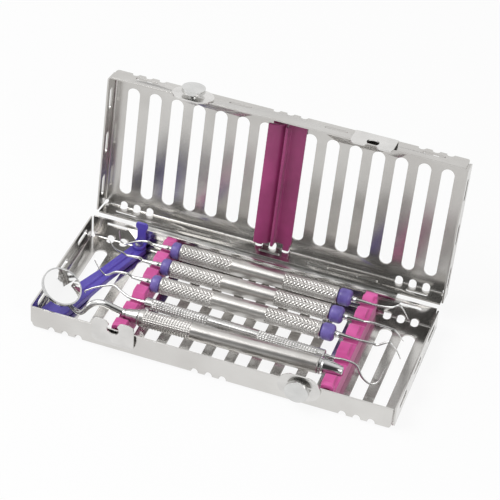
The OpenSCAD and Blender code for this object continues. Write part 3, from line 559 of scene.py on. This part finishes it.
EXPLORER_R = 0.00325
EXPLORER_AT = Vector((-0.0471, FIRST_Y - 3 * PITCH + 0.0001, 0.0114))
EXPLORER_YAW = math.radians(-1.1)
EXPLORER_L = 0.1015
PROBE_CONE_L, PROBE_CONE_R = 0.005, 0.0015
ring_steel = finish("rolled_ring_steel", (0.6, 0.595, 0.585), (0.48, 0.475, 0.465), 0.26, 0.1, metal=1.0,
                    patch=70.0, grain=3000.0, stretch=(4.0, 0.4, 0.4), bump=0.1)
explorer = knurled_bar(
    "explorer_bar", ring_steel, length=EXPLORER_L, radius=EXPLORER_R, chamfer=0.0004,
    first_knurl_from=0.004, first_knurl_to=0.036, second_knurl_from=0.064, second_knurl_to=0.0975,
    pitch_a=0.0015, turns_a=0.0, pitch_b=0.5, turns_b=16.0, depth=0.0004, yaw=EXPLORER_YAW, rows=620,
    columns=113, place=EXPLORER_AT)
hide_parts("explorer_handle")
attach(explorer, "explorer")
probe_left = [(0, 0), (5, 0.3), (10.6, 2.4), (15.6, 4.2), (23.9, 0.6), (28.4, -2.6), (29.4, -3.6),
              (28.6, -4.2)]
probe_right = [(0, 0), (5.6, 0.7), (12.4, -0.1), (16.6, -4.6), (19.8, -6.8), (22.8, -7.4), (26.1, -5.2),
               (27.2, -0.4), (28.1, 2.7)]
turn = Matrix.Rotation(EXPLORER_YAW, 4, "Z")
working_tip("explorer_left_probe", "explorer_left_tip", "explorer", probe_left, -1, 30, EXPLORER_AT,
            EXPLORER_YAW, PROBE_CONE_L, PROBE_CONE_R, tip_steel)
working_tip("explorer_right_probe", "explorer_right_tip", "explorer", probe_right, 1, 50,
            EXPLORER_AT + turn @ Vector((EXPLORER_L, 0, 0)), EXPLORER_YAW, PROBE_CONE_L, PROBE_CONE_R,
            tip_steel)

# The mouth mirror has a plain handle with rows of small studs at its left end, a conical ferrule that
# clamps the bent stem, a dark polished end cone, and a round cup that holds the glass.

MIRROR_AT = Vector((HANDLE_FROM - 0.0049, FIRST_Y - 4 * PITCH + 0.001, 0.0132))
MIRROR_YAW = math.radians(1.3)
COLLAR_L, MIRROR_BAR_L = 0.0096, 0.109
turn = Matrix.Rotation(MIRROR_YAW, 4, "Z")
turned("mirror_ferrule", [(0.0, 0.0), (0.0, 0.0021), (0.0003, 0.0025), (0.0013, 0.0026), (0.0015, 0.0023),
                          (0.002, 0.0023), (0.0023, 0.0028), (0.0085, 0.0041), (0.0091, 0.00415),
                          (0.0096, 0.0039), (0.0096, 0.0)],
       MIRROR_AT, MIRROR_YAW, ring_steel, "mouth_mirror", "mirror_collar")
bar = knurled_bar(
    "mirror_bar", bar_steel, length=MIRROR_BAR_L - COLLAR_L, radius=HANDLE_R, chamfer=0.0004,
    first_knurl_from=0.0025, first_knurl_to=0.029, second_knurl_from=1.0, second_knurl_to=1.0,
    pitch_a=0.0015, turns_a=0.0, pitch_b=0.5, turns_b=22.0, depth=0.0004, yaw=MIRROR_YAW, rows=600,
    columns=155, place=MIRROR_AT + turn @ Vector((COLLAR_L, 0, 0)))
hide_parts("mirror_handle")
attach(bar, "mouth_mirror")
polished = finish("polished_end_steel", (0.62, 0.62, 0.62), (0.5, 0.5, 0.5), 0.1, 0.05, metal=1.0,
                  patch=100.0, grain=4000.0, bump=0.05)
turned("mirror_cone", [(0.0, 0.0), (0.0, 0.0044), (0.0003, 0.00475), (0.0012, 0.00475), (0.0014, 0.0044),
                       (0.0022, 0.0044), (0.0026, 0.0046), (0.006, 0.004), (0.01, 0.00315), (0.012, 0.0026),
                       (0.0127, 0.0022), (0.013, 0.0015), (0.013, 0.0)],
       MIRROR_AT + turn @ Vector((MIRROR_BAR_L, 0, 0)), MIRROR_YAW, polished, "mouth_mirror",
       "mirror_end_cone")
stem_points = [(-0.35, 0, 0.3), (-5.4, 0.1, 1.6), (-10.8, 0.2, 2.7), (-16, 0.2, 1.6), (-19.4, -0.6, -1.4),
               (-22.9, -2.1, -5.5), (-27.2, -1.5, -5.4), (-32, -0.2, -2.5), (-34.4, 0.8, 1.3),
               (-33.2, 0.5, 3.6)]
route = smooth([tuple(v / 1000 for v in p) for p in stem_points], 10)
girth = [0.0021 - 0.001 * i / (len(route) - 1) for i in range(len(route))]
stem = bar_mesh("mirror_bent_stem", route, girth, Vector((0, 1, 0)), [1.0] * len(route), tip_steel)
stem.data.transform(Matrix.Translation(MIRROR_AT) @ turn)
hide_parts("mirror_stem")
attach(stem, "mouth_mirror")
eased_copy("mirror_cup", "mirror_round_cup", 0.00035, polished, "mouth_mirror", 3)
glass = finish("mirror_face", (0.93, 0.93, 0.93), (0.9, 0.9, 0.9), 0.06, 0.02, metal=1.0, patch=60.0,
               grain=2000.0, bump=0.0)
eased_copy("mirror_glass", "mirror_round_glass", 0.0001, glass, "mouth_mirror")

# The studio: a pale floor that reads white, one large soft light above and to the left, a weaker one from
# the right, and the photograph's own viewing angle through a long lens.

floor_mat = bpy.data.materials.new("pale_floor")
floor_mat.use_nodes = True
nodes, links = floor_mat.node_tree.nodes, floor_mat.node_tree.links
shader = nodes["Principled BSDF"]
shader.inputs["Base Color"].default_value = (0.86, 0.86, 0.86, 1)
shader.inputs["Roughness"].default_value = 0.9
glow = nodes.new("ShaderNodeEmission")
glow.inputs["Color"].default_value = (1, 1, 1, 1)
path = nodes.new("ShaderNodeLightPath")
seen = nodes.new("ShaderNodeMath")
seen.operation = "MAXIMUM"
links.new(path.outputs["Is Camera Ray"], seen.inputs[0])
links.new(path.outputs["Is Glossy Ray"], seen.inputs[1])
share = nodes.new("ShaderNodeMath")
share.operation = "MULTIPLY"
share.inputs[1].default_value = 0.88
links.new(seen.outputs[0], share.inputs[0])
blend = nodes.new("ShaderNodeMixShader")
links.new(share.outputs[0], blend.inputs["Fac"])
links.new(shader.outputs[0], blend.inputs[1])
links.new(glow.outputs[0], blend.inputs[2])
links.new(blend.outputs[0], nodes["Material Output"].inputs["Surface"])
bpy.ops.mesh.primitive_plane_add(size=6, location=(0, 0, -0.0001))
floor = bpy.context.object
floor.name = "pale_floor"
floor.data.materials.append(floor_mat)

world = bpy.data.worlds.new("studio")
bpy.context.scene.world = world
world.use_nodes = True
nodes, links = world.node_tree.nodes, world.node_tree.links
sky = nodes["Background"]
sky.inputs["Color"].default_value = (1, 1, 1, 1)
path = nodes.new("ShaderNodeLightPath")
place = nodes.new("ShaderNodeTexCoord")
toward = nodes.new("ShaderNodeVectorMath")
toward.operation = "DOT_PRODUCT"
toward.inputs[1].default_value = (0.22, -0.74, 0.63)
links.new(place.outputs["Generated"], toward.inputs[0])
dark = nodes.new("ShaderNodeMapRange")
dark.inputs["From Min"].default_value = 0.62
dark.inputs["From Max"].default_value = 0.92
dark.inputs["To Min"].default_value = 1.0
dark.inputs["To Max"].default_value = 0.06
links.new(toward.outputs["Value"], dark.inputs["Value"])
room = nodes.new("ShaderNodeMix")
room.data_type = "FLOAT"
links.new(path.outputs["Is Glossy Ray"], room.inputs["Factor"])
room.inputs["A"].default_value = 0.55
links.new(dark.outputs["Result"], room.inputs["B"])
back = nodes.new("ShaderNodeMix")
back.data_type = "FLOAT"
direct = nodes.new("ShaderNodeMath")
direct.operation = "MAXIMUM"
links.new(path.outputs["Is Camera Ray"], direct.inputs[0])
links.new(path.outputs["Is Transmission Ray"], direct.inputs[1])
links.new(direct.outputs[0], back.inputs["Factor"])
links.new(room.outputs["Result"], back.inputs["A"])
back.inputs["B"].default_value = 1.0
links.new(back.outputs["Result"], sky.inputs["Strength"])


def soft_light(name, place, target, size, watts):
    lamp = bpy.data.lights.new(name, "AREA")
    lamp.shape = "RECTANGLE"
    lamp.size, lamp.size_y = size
    lamp.energy = watts
    obj = bpy.data.objects.new(name, lamp)
    bpy.context.scene.collection.objects.link(obj)
    obj.location = place
    obj.rotation_euler = (Vector(target) - Vector(place)).to_track_quat("-Z", "Y").to_euler()
    return obj


soft_light("key_softbox", (-0.7, -0.3, 1.1), (0, 0.02, 0), (0.9, 0.7), 9.0)
soft_light("fill_softbox", (0.9, -0.7, 0.7), (0, 0.02, 0), (0.6, 0.6), 3.5)

az, el, roll, far = math.radians(16.216), math.radians(39.333), math.radians(4.78), 1.140124
back_way = Vector((math.sin(az) * math.cos(el), -math.cos(az) * math.cos(el), math.sin(el)))
right = Vector((math.cos(az), math.sin(az), 0))
up = right.cross(-back_way)
right, up = math.cos(roll) * right + math.sin(roll) * up, -math.sin(roll) * right + math.cos(roll) * up
lens = bpy.data.cameras.new("camera")
lens.sensor_width = 36.0
lens.lens = 36.0 * 2047.338 / 500
lens.clip_start, lens.clip_end = 0.05, 20
camera = bpy.data.objects.new("camera", lens)
bpy.context.scene.collection.objects.link(camera)
spot = Vector((-0.010855, 0.053753, 0.010)) + back_way * far
turned_frame = Matrix((right, up, back_way)).transposed()
camera.matrix_world = Matrix.Translation(spot) @ turned_frame.to_4x4()
bpy.context.scene.camera = camera
bpy.context.scene.view_settings.view_transform = "Standard"
